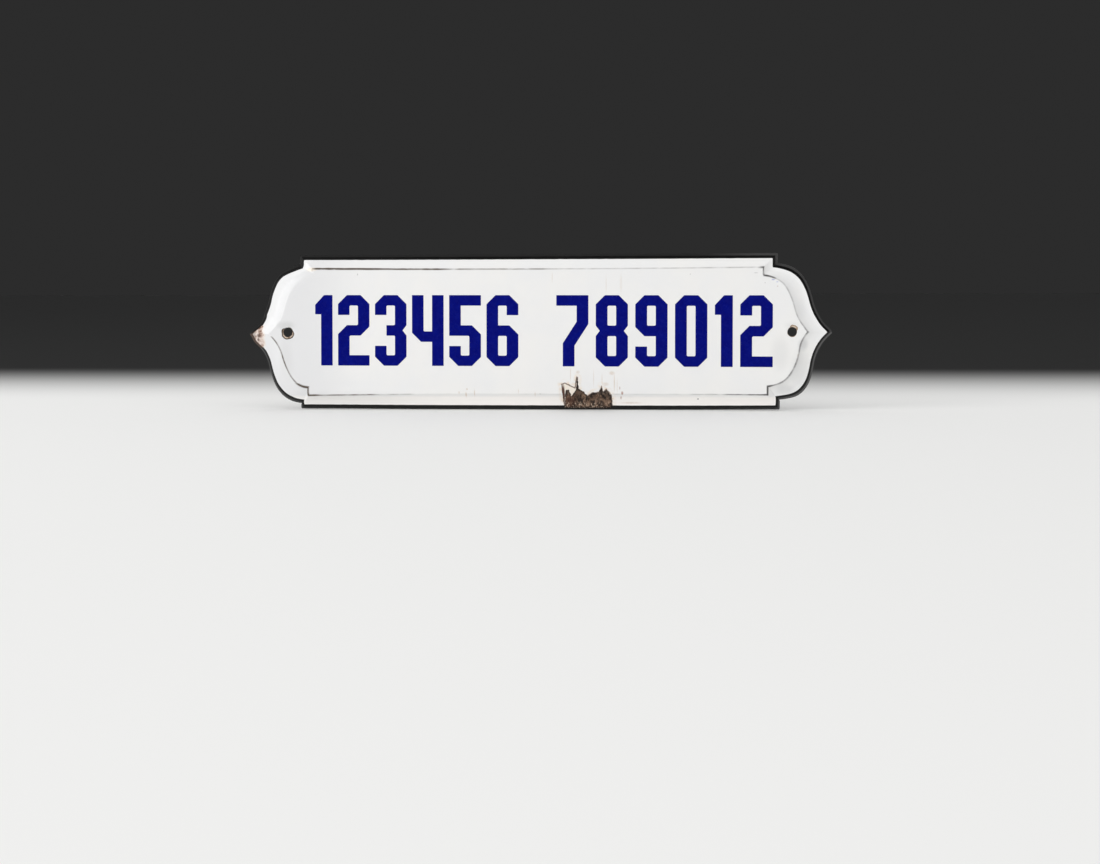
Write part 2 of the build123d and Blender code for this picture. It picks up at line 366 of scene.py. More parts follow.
# The border's cross-section is an arc, hollow to the front, and the fold's is an arc behind its edge
border_slope = atan2(BORDER_DEPTH, BORDER_TOP_WIDTH)
crease_slope = border_slope + COVE_TURN / 2
edge_slope = border_slope - COVE_TURN / 2
cove_radius = BORDER_TOP_WIDTH / (sin(crease_slope) - sin(edge_slope))
cove_centre = (cove_radius * sin(crease_slope), -cove_radius * cos(crease_slope))
fold_radius = FOLD_INNER_RADIUS + SHEET
fold_centre = (-fold_radius * sin(edge_slope), BORDER_DEPTH + fold_radius * cos(edge_slope))


def joined(quarters):
    """The four quarters' points as one ring, from the middle of the top through the right point."""
    upper_right, lower_right, lower_left, upper_left = quarters
    return np.vstack([upper_right, lower_right[::-1][1:], lower_left[1:], upper_left[::-1][1:-1]])


def eased(place, places, values):
    """The values at the places named, joined by gently rounded lines."""
    shifts = np.linspace(-EASED_REACH, EASED_REACH, EASED_SAMPLES)
    return np.mean([np.interp(place + shift, places, values) for shift in shifts], axis=0)


def bend(ring, from_crease):
    """Moves one row's points off true, as the sheet was pressed by hand."""
    out = np.clip(from_crease / BORDER_TOP_WIDTH, 0, 1)
    back = np.clip((from_crease - BORDER_TOP_WIDTH) / RIM_REACH, 0, 1)
    moved = []
    for name, ((side, _), top_shares, flare_shares) in QUARTERS.items():
        place = np.concatenate([
            top_shares - 1,
            np.zeros(CORNER_POINTS),
            SIDE_SHARES,
            1 + SHOULDER_SHARES,
            2 + flare_shares,
            np.full(POINT_POINTS, 3.0),
        ])
        places, crease_x, crease_z, edge_x, edge_z = np.transpose(OFF_TRUE[name])
        across = eased(place, places, crease_x + (edge_x - crease_x) * out)
        up = eased(place, places, crease_z + (edge_z - crease_z) * out)
        if name == "upper right":
            across += WIDE_RIM * back * smooth(*WIDE_RIM_PLACES, place)
        moved.append(np.column_stack([side * across, up]))
    inward = np.clip(-from_crease / max(FIELD_BANDS), 0, 1)
    ring += (1 - (1 - INMOST_SHARE) * inward) * joined(moved)
    from_dent = (ring - DENT_PLACE) / DENT_REACH
    ring[:, 0] += POINT_DENT * out * np.clip(1 - (from_dent**2).sum(axis=1), 0, 1)


@dataclass
class Row:
    """One line of the mesh round the plaque."""

    outline: Outline
    depth: float
    from_crease: float   # across the surface, less than 0 on the field


def field_rows():
    """The flat edge of the field and the rounded crease."""
    rows = [Row(crease.grown(-band), 0, -band) for band in FIELD_BANDS]
    for slope in np.linspace(0, crease_slope, CREASE_ROWS):
        across = CREASE_ROUNDING * (sin(slope) - tan(crease_slope / 2))
        outline = crease.grown(across) if across < 0 else crease.toward(front_edge, across / BORDER_TOP_WIDTH)
        rows.append(Row(outline, CREASE_ROUNDING * (1 - cos(slope)), across))
    return rows


def cove_rows(radius, first_slope, count):
    """The rows down the cove, from a slope there to the slope of its edge."""
    rows = []
    for slope in np.linspace(first_slope, edge_slope, count + 1):
        across = cove_centre[0] - radius * sin(slope)
        outline = crease.toward(front_edge, across / BORDER_TOP_WIDTH)
        rows.append(Row(outline, cove_centre[1] + radius * cos(slope), across))
    return rows


def rim_rows(radius, count, last_band):
    """The rows round the fold, down the straight rim and over to the cut edge, a band away."""
    rows = []
    for slope in np.linspace(edge_slope, RIM_SLOPE, count + 1)[1:]:
        band = fold_centre[0] + radius * sin(slope)
        depth = fold_centre[1] - radius * cos(slope)
        bent = BORDER_TOP_WIDTH + radius * (slope - edge_slope)
        rows.append(Row(front_edge.grown(band), depth, bent))
    straight = PLAQUE_DEPTH - CUT_EDGE_ROUNDING - depth
    for drop in np.multiply(RIM_SHARES, straight):
        outline = front_edge.grown(band + drop / tan(RIM_SLOPE))
        rows.append(Row(outline, depth + drop, bent + drop / sin(RIM_SLOPE)))
    last = rows[-1]
    return rows + [Row(last.outline.grown(last_band), PLAQUE_DEPTH, last.from_crease)]


def outside_rows():
    """All rows on the outside, from the field to the cut edge."""
    rows = field_rows()
    first_slope = asin((cove_centre[0] - rows[-1].from_crease) / cove_radius)
    rows += cove_rows(cove_radius, first_slope, COVE_ROWS)[1:]
    return rows + rim_rows(fold_radius, FOLD_ROWS, -CUT_EDGE_ROUNDING / 2)


def inside_rows():
    """All rows of the hollow back, from the cut edge in to the field's back."""
    radius = cove_radius + SHEET
    cove = cove_rows(radius, acos((SHEET - cove_centre[1]) / radius), BACK_COVE_ROWS)
    flat = Row(cove[0].outline.grown(-1), SHEET, cove[0].from_crease - 1)
    rows = [flat] + cove + rim_rows(FOLD_INNER_RADIUS, BACK_FOLD_ROWS, CUT_EDGE_ROUNDING / 2)
    return rows[::-1]


class SheetMesh:
    """Gathers points and faces. With its place, a point keeps its distance from the crease and its side."""

    def __init__(self):
        self.points = []
        self.faces = []
        self.materials = []

    def add(self, points, from_crease, is_front):
        """Adds a row of points and returns their numbers."""
        start = len(self.points)
        self.points.extend((*point, from_crease, is_front) for point in points)
        return np.arange(start, len(self.points))

    def bridge(self, first, second, material, closed):
        """Quads between two rows of as many points."""
        count = len(first)
        for index in range(count if closed else count - 1):
            after = (index + 1) % count
            self.faces.append((first[index], first[after], second[after], second[index]))
            self.materials.append(material)


def add_ring(sheet, row, is_front):
    """Adds one row of the mesh, and returns its numbers."""
    ring = joined([row.outline.quarter(*shares) * signs for signs, *shares in QUARTERS.values()])
    bend(ring, row.from_crease)
    depth = np.full(len(ring), float(row.depth))
    if is_front:
        soft = smooth(*SOFT_CREASE_X, ring[:, 0]) * smooth(*SOFT_CREASE_Z, ring[:, 1])
        share = max(0, 1 - abs(row.from_crease) / SOFT_CREASE_REACH) / 2
        depth += soft * tan(crease_slope) * 2 * SOFT_CREASE_REACH * (share**3 - share**4 / 2)
    return sheet.add(np.column_stack([ring[:, 0], depth, ring[:, 1]]), row.from_crease, is_front)


def add_pressing(sheet):
    """Adds the sheet from the field's edge over the border and the rim, and back up the inside."""
    numbers = [add_ring(sheet, row, True) for row in outside_rows()]
    for first, second in zip(numbers, numbers[1:]):
        sheet.bridge(first, second, FRONT_MATERIAL, True)
    last = numbers[-1]
    for row in inside_rows():
        inner = add_ring(sheet, row, False)
        sheet.bridge(last, inner, BACK_MATERIAL, True)
        last = inner
    return numbers[0]


def add_patch(sheet, field_ring):
    """Adds the finely divided patch of the field above the bottom chip."""
    ring = np.array([sheet.points[number] for number in field_ring])
    inside = (ring[:, 0] > PATCH_LEFT - TINY) & (ring[:, 0] < PATCH_RIGHT + TINY)
    low_z = ring[inside, 2].min()
    on_bottom = inside & (np.abs(ring[:, 2] - low_z) < TINY)
    last = field_ring[on_bottom]
    for level in np.linspace(low_z, PATCH_TOP, round((PATCH_TOP - low_z) / FINE_STEP) + 1)[1:]:
        numbers = sheet.add([(x, 0, level) for x in ring[on_bottom, 0]], low_z - level, True)
        sheet.bridge(last, numbers, FRONT_MATERIAL, False)
        last = numbers


def add_hole(sheet, centre_x):
    """Adds the rings round a screw hole, through it and on its back."""
    radii = np.arange(HOLE_GRID_RADIUS, HOLE_RADIUS + HOLE_EDGE_ROUNDING, -HOLE_GRID_STEP)
    sections = [(radius, 0, True) for radius in radii]
    for turn in np.radians((0, 30, 60, 90)):
        radius = HOLE_RADIUS + HOLE_EDGE_ROUNDING * (1 - sin(turn))
        sections.append((radius, HOLE_EDGE_ROUNDING * (1 - cos(turn)), True))
    sections += [(HOLE_RADIUS, depth, False) for depth in HOLE_DEPTHS]
    sections += [(HOLE_RADIUS + HOLE_BACK_ROUNDING, SHEET, False), (HOLE_GRID_RADIUS, SHEET, False)]
    angles = np.arange(HOLE_SPOKES) * 2 * pi / HOLE_SPOKES
    last = None
    for radius, depth, is_front in sections:
        points = [(centre_x + radius * cos(angle), depth, radius * sin(angle)) for angle in angles]
        numbers = sheet.add(points, -BORDER_TOP_WIDTH, is_front)
        if last is not None:
            sheet.bridge(last, numbers, FRONT_MATERIAL if is_front else BACK_MATERIAL, True)
        last = numbers


def segment_distance(points, start, end):
    """How far each point is from a straight line between two points."""
    start = np.array(start)
    run = np.array(end) - start
    share = np.clip((points - start) @ run / (run @ run), 0, 1)
    return np.linalg.norm(points - start - share[:, None] * run, axis=1)


def inside_polygon(points, corners):
    """How far each point is inside a polygon, less than 0 outside it."""
    distance = np.full(len(points), np.inf)
    inside = np.zeros(len(points), bool)
    for start, end in zip(corners, corners[1:] + corners[:1]):
        distance = np.minimum(distance, segment_distance(points, start, end))
        crosses = (start[1] > points[:, 1]) != (end[1] > points[:, 1])
        if crosses.any():
            where = start[0] + (points[crosses, 1] - start[1]) * (end[0] - start[0]) / (end[1] - start[1])
            inside[crosses] ^= points[crosses, 0] < where
    return np.where(inside, distance, -distance)


def ripple(points, amount, size, seed):
    """Smooth noise up to about an amount both ways, with bumps of a size."""
    value = np.zeros(len(points))
    generator = np.random.default_rng(seed)
    for octave in range(3):
        for _ in range(5):
            direction = generator.uniform(0, 2 * pi)
            phase = generator.uniform(0, 2 * pi)
            rate = 2 * pi / size * 2**octave * generator.uniform(0.7, 1.3)
            along = points @ np.array([cos(direction), sin(direction)])
            value += np.sin(along * rate + phase) / 2**octave / 4
    return amount * value


def bottom_chip(points):
    """The corners of the bottom chip, or of the steel in it, on the plaque."""
    return [(BOTTOM_CHIP_FROM_MIDDLE + across, up - front_edge.top_z) for across, up in points]


def hole_chip(points, centre_x, stretches):
    """How far each point is inside the chipped ring of a hole."""
    across = points[:, 0] - centre_x
    angle = np.degrees(np.arctan2(points[:, 1], across))
    reach = np.full(len(points), HOLE_RADIUS + HOLE_LEAST_CHIP)
    for middle, half_width, radius in stretches:
        away = np.abs((angle - middle + 180) % 360 - 180)
        share = smooth(half_width, half_width * 0.4, away)
        reach = np.maximum(reach, HOLE_RADIUS + (radius - HOLE_RADIUS) * share)
    return reach - np.hypot(across, points[:, 1])


def wear_masks(flat, past_edge, is_front):
    """How far inside each kind of damage every point lies, less than 0 outside."""
    ragged = ripple(flat, 0.28, 3.2, 5) + ripple(flat, 0.12, 1.1, 6)
    on_upper_rim = 6 * smooth(0.3, 1.5, past_edge) * smooth(-2.4, -0.4, flat[:, 1])
    tip_chip = [(across - front_edge.tip_x, up) for across, up in TIP_CHIP_POINTS]
    holes = [hole_chip(flat, -HOLE_X, LEFT_HOLE_CHIPS), hole_chip(flat, HOLE_X, RIGHT_HOLE_CHIPS)]
    found = {
        "crack_inside": inside_polygon(flat, bottom_chip(BOTTOM_CHIP_POINTS)) + 0.6 * ragged,
        "core_inside": inside_polygon(flat, bottom_chip(BOTTOM_CORE_POINTS)) + ragged,
        "tip_inside": inside_polygon(flat, tip_chip) + ragged - on_upper_rim,
        "hole_inside": np.maximum(*holes) + 0.5 * ragged,
    }
    return {name: np.where(is_front, inside, MASK_RANGE[0]) for name, inside in found.items()}


def grime_mask(flat, from_crease):
    """How much dirt lies along the crease at each point."""
    x, z = flat.T
    dirt = np.zeros(len(flat))
    for low_x, high_x, low_z, high_z, amount, width in GRIME:
        window = smooth(low_x - GRIME_FADE_X, low_x, x) * smooth(high_x + GRIME_FADE_X, high_x, x)
        window *= smooth(low_z - GRIME_FADE_Z, low_z, z) * smooth(high_z + GRIME_FADE_Z, high_z, z)
        dirt = np.maximum(dirt, amount * window * np.exp(-((from_crease / width) ** 2)))
    return dirt * (0.85 + ripple(flat, 0.25, 9, 11))


def build_sheet():
    """The plaque's own mesh, with its wear stored on its points."""
    sheet = SheetMesh()
    add_patch(sheet, add_pressing(sheet))
    add_hole(sheet, -HOLE_X)
    add_hole(sheet, HOLE_X)
    x, y, z, from_crease, is_front = np.array(sheet.points).T
    flat = np.column_stack([x, z])
    past_edge = from_crease - BORDER_TOP_WIDTH
    masks = wear_masks(flat, past_edge, is_front > 0)
    masks["crease_grime"] = grime_mask(flat, from_crease) * is_front
    white_short = WHITE_SHORT_AT_TOP * smooth(*WHITE_SHORT_Z, z)
    masks["past_white"] = past_edge + white_short + ripple(flat, 0.06, 8, 3)
    chipped = np.maximum(masks["core_inside"], masks["tip_inside"])
    grain = ripple(flat * (1, 0.4), 0.07, 1.6, 21) + ripple(flat, 0.04, 0.9, 22)
    flaked = CRACKED_DEPTH * smooth(-0.1, 0.25, masks["crack_inside"])
    bare = smooth(-0.15, 0.2, np.maximum(chipped, masks["hole_inside"]))
    y += np.maximum(flaked, bare * (CHIP_DEPTH + grain * smooth(0.1, 0.8, chipped)))
    points = np.column_stack([x, np.minimum(y, PLAQUE_DEPTH), z]) * MM
    mesh = bpy.data.meshes.new("enamelled_plaque")
    mesh.from_pydata(points.tolist(), [], [tuple(map(int, face)) for face in sheet.faces])
    mesh.polygons.foreach_set("material_index", sheet.materials)
    for name, values in masks.items():
        attribute = mesh.attributes.new(name, "FLOAT", "POINT")
        attribute.data.foreach_set("value", np.clip(values, *MASK_RANGE).astype(np.float32))
    close_flats(mesh)
    mesh.shade_smooth()
    mesh.set_sharp_from_angle(angle=SHARP_ANGLE)
    return mesh


def close_flats(mesh):
    """Fills the flat field and its back between the rows that border them."""
    shell = bmesh.new()
    shell.from_mesh(mesh)
    open_edges = [edge for edge in shell.edges if edge.is_boundary]
    front = [edge for edge in open_edges if edge.verts[0].co.y < SHEET * MM / 2]
    back = [edge for edge in open_edges if edge.verts[0].co.y >= SHEET * MM / 2]
    for edges, material in ((front, FRONT_MATERIAL), (back, BACK_MATERIAL)):
        made = bmesh.ops.triangle_fill(shell, use_beauty=True, edges=edges)
        for face in made["geom"]:
            if isinstance(face, bmesh.types.BMFace):
                face.material_index = material
                face.smooth = True
    bmesh.ops.recalc_face_normals(shell, faces=shell.faces)
    shell.to_mesh(mesh)
    shell.free()


# Numerals: each group's text and where it starts and ends, and then sizes within a numeral
NUMERAL_GROUPS = (("123456", -146.1, -12.2), ("789012", 12.6, 152.1))
NUMERAL_TOP = 24.0
NUMERAL_HEIGHT = 46.2
NUMERAL_TILT = radians(-0.17)
NUMERAL_WIDTH = 20.8
NUMERAL_ROUNDING = 0.3
NUMERAL_THICKNESS = 0.07
NUMERAL_BED = 0.05
STEM = 7.6
BAR = 6.8
CHAMFER = 5.9
INNER_CHAMFER = 0.5
HOOK = 13.0
NICK_HALF_WIDTH = 3.4
NICK_DEPTH = 2.6
FLAG = 3.9
FLAG_SLANT = 2.0
FLAG_TOP = 6.4
FLAG_FOOT = 12.6
FOUR_BAR_DROP = 4.0
SEVEN_FOOT = 4.2
SEVEN_BEND_LOW = 15.0
SEVEN_BEND_HIGH = 29.0
SEVEN_SLANT = 1.5


def numeral_loops():
    """The loops of each numeral: corners as (across, up, how much is cut off the corner)."""
    w, h, s, b, c, i = NUMERAL_WIDTH, NUMERAL_HEIGHT, STEM, BAR, CHAMFER, INNER_CHAMFER
    low = (h - b) / 2
    high = (h + b) / 2
    nick_low = h / 2 - NICK_HALF_WIDTH
    nick_high = h / 2 + NICK_HALF_WIDTH
    cross = low - FOUR_BAR_DROP
    flag = FLAG + s
    foot = SEVEN_FOOT + s

    def counter(bottom, top):
        """The hole between two bars."""
        return [(s, bottom, i), (w - s, bottom, i), (w - s, top, i), (s, top, i)]

    head_hook = [(w - s, h - b, i), (s, h - b, i), (s, h - HOOK, 0), (0, h - HOOK, 0), (0, h, c), (w, h, c)]
    foot_hook = [(0, 0, c), (0, HOOK, 0), (s, HOOK, 0), (s, b, i), (w - s, b, i), (w - s, low, i)]
    right_nick = [(w, nick_high, 0), (w - NICK_DEPTH, h / 2, 0), (w, nick_low, 0)]
    left_nick = [(0, nick_low, 0), (NICK_DEPTH, h / 2, 0), (0, nick_high, 0)]
    six = [
        [(0, 0, c), (0, h, c), (w, h, c), (w, h - HOOK, 0), (w - s, h - HOOK, 0), (w - s, h - b, i),
         (s, h - b, i), (s, high, 0), (w, high, c), (w, 0, c)],
        counter(b, low),
    ]
    return {
        "0": [[(0, 0, c), (0, h, c), (w, h, c), (w, 0, c)], counter(b, h - b)],
        "1": [[(FLAG, 0, 0), (FLAG, h - FLAG_FOOT, 0), (0, h - FLAG_FOOT, 0), (0, h - FLAG_TOP, 0),
               (FLAG + FLAG_SLANT, h, 0), (flag, h, 0), (flag, 0, 0)]],
        "2": [[(0, 0, 0), (0, high, c), (w - s, high, i)] + head_hook
              + [(w, low, c), (s, low, i), (s, b, 0), (w, b, 0), (w, 0, 0)]],
        "3": [foot_hook + [(s, low, 0), (s, high, 0), (w - s, high, i)] + head_hook
              + right_nick + [(w, 0, c)]],
        "4": [[(w - s, 0, 0), (w - s, cross, 0), (0, cross, c), (0, h, 0), (s, h, 0), (s, cross + b, i),
               (w - s, cross + b, 0), (w - s, h, 0), (w, h, 0), (w, 0, 0)]],
        "5": [foot_hook + [(0, low, 0), (0, h, 0), (w, h, 0), (w, h - b, 0), (s, h - b, 0),
              (s, high, 0), (w, high, c), (w, 0, c)]],
        "6": six,
        "7": [[(SEVEN_FOOT, 0, 0), (SEVEN_FOOT, SEVEN_BEND_LOW, 0), (w - s, SEVEN_BEND_HIGH, 0),
               (w - s, h - b, 0), (0, h - b, 0), (0, h, 0), (w, h, 0), (w, SEVEN_BEND_HIGH - SEVEN_SLANT, 0),
               (foot, SEVEN_BEND_LOW - SEVEN_SLANT, 0), (foot, 0, 0)]],
        "8": [[(0, 0, c)] + left_nick + [(0, h, c), (w, h, c)] + right_nick + [(w, 0, c)],
              counter(b, low), counter(high, h - b)],
        "9": [[(w - x, h - z, cut) for x, z, cut in loop] for loop in six],
    }


def cut_corners(corners):
    """The loop with its corners cut off as stated."""
    points = []
    for index, (x, z, cut) in enumerate(corners):
        here = Vector((x, z))
        if cut:
            before = Vector(corners[index - 1][:2])
            after = Vector(corners[(index + 1) % len(corners)][:2])
            points.append(here + (before - here).normalized() * cut)
            points.append(here + (after - here).normalized() * cut)
        else:
            points.append(here)
    return points


def round_corners(points, radius):
    """The loop with every corner rounded a little."""
    rounded = []
    for index, here in enumerate(points):
        before = points[index - 1] - here
        after = points[(index + 1) % len(points)] - here
        reach = min(radius, before.length * 0.4, after.length * 0.4)
        start = here + before.normalized() * reach
        end = here + after.normalized() * reach
        for share in (0, 0.33, 0.67, 1):
            rounded.append(start * (1 - share) ** 2 + here * 2 * share * (1 - share) + end * share**2)
    return rounded


def build_numerals():
    """All numerals as one mesh of thin raised enamel."""
    loops = numeral_loops()
    tilt = Matrix.Rotation(NUMERAL_TILT, 2)
    shell = bmesh.new()
    for text, left, right in NUMERAL_GROUPS:
        widths = [STEM + FLAG if digit == "1" else NUMERAL_WIDTH for digit in text]
        gap = (right - left - sum(widths)) / (len(text) - 1)
        for digit, width in zip(text, widths):
            edges = []
            for corners in loops[digit]:
                loop = round_corners(cut_corners(corners), NUMERAL_ROUNDING)
                placed = [tilt @ Vector((left + p.x, NUMERAL_TOP - NUMERAL_HEIGHT + p.y)) for p in loop]
                verts = [shell.verts.new((p.x * MM, NUMERAL_BED * MM, p.y * MM)) for p in placed]
                edges += [shell.edges.new((verts[n - 1], verts[n])) for n in range(len(verts))]
            bmesh.ops.triangle_fill(shell, use_beauty=True, edges=edges)
            left += width + gap
    base = list(shell.faces)
    raised = bmesh.ops.extrude_face_region(shell, geom=base, use_keep_orig=True)["geom"]
    top = [part for part in raised if isinstance(part, bmesh.types.BMVert)]
    bmesh.ops.translate(shell, verts=top, vec=(0, -(NUMERAL_BED + NUMERAL_THICKNESS) * MM, 0))
    bmesh.ops.recalc_face_normals(shell, faces=shell.faces)
    mesh = bpy.data.meshes.new("numerals")
    shell.to_mesh(mesh)
    shell.free()
    return mesh


def colour(red, green, blue):
    """A colour as it shows on screen, from 0 to 255, in the form that shaders take."""
    shares = [value / 255 for value in (red, green, blue)]
    linear = [share / 12.92 if share <= 0.04045 else ((share + 0.055) / 1.055) ** 2.4 for share in shares]
    return (*linear, 1.0)


class Nodes:
    """The nodes of a material or a world. An input is a number, a colour or another node's output."""

    def __init__(self, owner):
        owner.use_nodes = True
        self.owner = owner
        self.tree = owner.node_tree

    def feed(self, socket, value):
        """Sets a socket to a value, or links it."""
        if isinstance(value, bpy.types.NodeSocket):
            self.tree.links.new(value, socket)
        else:
            socket.default_value = value

    def add(self, kind, inputs, output=0, **settings):
        """Adds a node, feeds its inputs and returns one of its outputs."""
        node = self.tree.nodes.new(kind)
        for name, value in settings.items():
            setattr(node, name, value)
        for name, value in inputs.items():
            self.feed(node.inputs[name], value)
        return node.outputs[output]

    def math(self, operation, first, second):
        return self.add("ShaderNodeMath", {0: first, 1: second}, operation=operation)

    def product(self, *factors):
        """All factors multiplied together."""
        result = factors[0]
        for factor in factors[1:]:
            result = self.math("MULTIPLY", result, factor)
        return result

    def vector(self, operation, first, second):
        return self.add("ShaderNodeVectorMath", {0: first, 1: second}, operation=operation)

    def span(self, value, low, high, low_out=0.0, high_out=1.0):
        """The value mapped from one span to another along an S curve, and held at its ends."""
        inputs = {"Value": value, "From Min": low, "From Max": high, "To Min": low_out, "To Max": high_out}
        return self.add("ShaderNodeMapRange", inputs, "Result", interpolation_type="SMOOTHSTEP")

    def mix(self, factor, first, second, kind="RGBA"):
        inputs = {"Factor": factor, "A": first, "B": second}
        return self.add("ShaderNodeMix", inputs, "Result", data_type=kind)

    def blend(self, factor, first, second):
        """A number between two numbers."""
        return self.mix(factor, first, second, "FLOAT")

    def tint(self, base, tone, *factors):
        """A base mixed towards a tone by all factors. A tone, or a base that is a tuple, is as on screen."""
        start = colour(*base) if isinstance(base, tuple) else base
        return self.mix(self.product(*factors), start, colour(*tone))


class Surface(Nodes):
    """A material's nodes, with the place on the surface in millimetres."""

    def __init__(self, name):
        super().__init__(bpy.data.materials.new(name))
        self.shader = self.tree.nodes["Principled BSDF"]
        metres = self.add("ShaderNodeTexCoord", {}, "Object")
        self.place = self.vector("MULTIPLY", metres, (1 / MM, 1 / MM, 1 / MM))
        self.across = self.add("ShaderNodeSeparateXYZ", {0: self.place}, "X")
        self.behind = self.add("ShaderNodeSeparateXYZ", {0: self.place}, "Y")
        self.height = self.add("ShaderNodeSeparateXYZ", {0: self.place}, "Z")

    def set(self, **inputs):
        """Feeds the shader's inputs, named with an underscore for each space."""
        for name, value in inputs.items():
            self.feed(self.shader.inputs[name.replace("_", " ")], value)

    def attribute(self, name):
        return self.add("ShaderNodeAttribute", {}, "Fac", attribute_name=name)

    def noise(self, size, detail=3.0, roughness=0.5, stretch=(1, 1, 1)):
        """Noise between 0 and 1 with features of a size."""
        vector = self.vector("MULTIPLY", self.place, stretch)
        inputs = {"Vector": vector, "Scale": 1 / size, "Detail": detail, "Roughness": roughness}
        return self.add("ShaderNodeTexNoise", inputs, "Fac")

    def spot(self, x, z, radius_x, radius_z, softness=0.5):
        """1 at a place on the front and 0 outside an oval round it."""
        away = self.vector("SUBTRACT", self.place, (x, 0, z))
        scaled = self.vector("MULTIPLY", away, (1 / radius_x, 0, 1 / radius_z))
        length = self.add("ShaderNodeVectorMath", {0: scaled}, "Value", operation="LENGTH")
        return self.span(length, 1.0, 1.0 - softness)

    def bump(self, height, distance, strength, normal=None):
        inputs = {"Height": height, "Distance": distance * MM, "Strength": strength}
        if normal is not None:
            inputs["Normal"] = normal
        return self.add("ShaderNodeBump", inputs, "Normal")


def steel_colour(nodes, core):
    """Rusty steel, dark, in grains that run up and down."""
    grain = nodes.noise(1.7, 2, 0.55, (1, 1, 0.25))
    fine = nodes.noise(1.0, 2, 0.6, (1, 1, 0.35))
    patches = nodes.noise(6, 3, 0.6, (1, 1, 0.5))
    lower_edge = -front_edge.top_z
    light = nodes.tint((86, 66, 53), (134, 108, 89), nodes.span(patches, 0.4, 0.6))
    brown = nodes.mix(nodes.span(grain, 0.36, 0.60), colour(42, 31, 26), light)
    streaky = nodes.tint(brown, (32, 24, 20), nodes.span(fine, 0.48, 0.34))
    dark = nodes.tint(streaky, (36, 27, 23), nodes.span(core, 1.5, 0.3), 0.75)
    reddish = nodes.spot(BOTTOM_CHIP_FROM_MIDDLE + 5, lower_edge + 3, 6, 6, 0.8)
    rusty = nodes.tint(dark, (118, 72, 52), reddish, 0.3)
    low = nodes.span(nodes.height, lower_edge + 3, lower_edge + 0.4)
    return nodes.tint(rusty, (204, 182, 162), nodes.span(fine, 0.55, 0.63), nodes.blend(low, 0.1, 0.8))


def tip_steel_colour(nodes, past_white):
    """The point's bare steel: grey at the very end, then pinkish remains of ground coat with brown spots, and
    darker rusty brown over the rim, partly painted shade under the point.
    """
    patches = nodes.noise(2.6, 4, 0.65)
    beige = nodes.tint((226, 212, 204), (178, 152, 138), nodes.span(patches, 0.42, 0.6))
    spotted = nodes.tint(beige, (112, 82, 68), nodes.span(patches, 0.58, 0.68))
    upper_pit = nodes.spot(-184.3, -2.2, 2.0, 1.7, 0.7)
    lower_pit = nodes.spot(-184.9, -4.9, 1.1, 1.6, 0.8)
    pitted = nodes.tint(spotted, (84, 56, 44), nodes.math("MAXIMUM", upper_pit, lower_pit), 0.85)
    very_end = nodes.span(nodes.across, 1.8 - front_edge.tip_x, -front_edge.tip_x)
    greyed = nodes.tint(pitted, (150, 146, 141), very_end, 0.6)
    # Painted shade, partly rust: the rim under the point turns a darker brown.
    return nodes.tint(greyed, (76, 58, 49), nodes.span(past_white, 0.2, 0.8))


# Small marks on the enamel, and spots of painted shade: the place across and up, how far each reaches both
# ways and how strong it is
STAIN = (206, 186, 166)
STAINS = (
    (48.6, -26.6, 2.4, 1.8, 0.6), (44.6, -33.8, 2.8, 1.7, 0.45), (26.6, -26, 1.8, 1.5, 0.5),
    (-46, -37.2, 0.9, 1, 0.6), (-46.6, -40.8, 0.8, 2.4, 0.7), (-51.2, -39.4, 0.8, 1.2, 0.5),
    (61, -46, 10, 1, 0.4),
)
STREAKS = (
    (21.8, -27.6, 0.5, 7, 0.45), (36.8, -30, 0.4, 8, 0.45), (42.2, -31, 0.5, 6, 0.4),
    (50.2, -33, 0.6, 8, 0.6), (52, -35, 0.4, 7, 0.4), (-41, -39.6, 0.5, 3.6, 0.6),
    (-12.2, -38.6, 0.4, 2.4, 0.5), (-1.4, -40.4, 0.5, 2.2, 0.5), (10, 35.5, 0.5, 5, 0.3),
    (45, 31, 0.5, 8, 0.28), (54.6, 31.5, 1.3, 8.5, 0.2),
)
RUST = (158, 106, 80)
RUST_SPOTS = (
    (53.7, -36.4, 0.5, 1.6, 0.6), (55.3, -39.6, 1, 1.8, 0.9), (54.5, -42.6, 0.8, 1.6, 0.6),
    (168.2, -15.2, 0.6, 1.6, 0.6), (155.2, 29.4, 0.6, 0.5, 0.6),
)
DARK_GREY = (90, 88, 86)
NICKS = (
    (104.2, -43.4, 0.8, 0.6, 1), (-117.8, 37.8, 0.45, 1, 0.5), (-39.2, -10.2, 0.5, 0.4, 0.5),
    (2, -40.2, 0.9, 0.6, 0.25), (141.4, 38, 1.9, 0.35, 0.5), (147.2, 31.6, 0.6, 0.5, 0.4),
    (99.3, 37.3, 0.5, 0.6, 0.35),
)
BLUE_SMEAR = (140, 146, 206)
SMEARS = (
    (152.4, 33.6, 1.6, 0.6, 0.8), (155, 32.2, 1.2, 0.5, 0.6),
)
ORANGE = (250, 232, 206)
CORNER_STAINS = ((-148.6, 41.2, 5.0, 1.8, 0.7),)
# Painted shade: soft grey spots at the right end, in the lower left cove, along the bottom left border and
# above the holes, where the field dishes
PAINTED_SHADE = (214, 214, 214)
PAINTED_SHADE_SPOTS = (
    (156.8, -14, 9, 16, 0.35), (170, -24, 9, 18, 0.45), (169.8, 14, 5, 10, 0.2),
    (171.5, -8, 4.5, 5.5, 0.9), (160.5, -37.5, 9, 5, 0.65), (-166, -20, 7, 22, 0.4),
    (-150, -46, 110, 9, 0.36), (-165.5, 4.4, 8, 4.2, 1), (164.5, 4.4, 7, 3.8, 0.25),
)


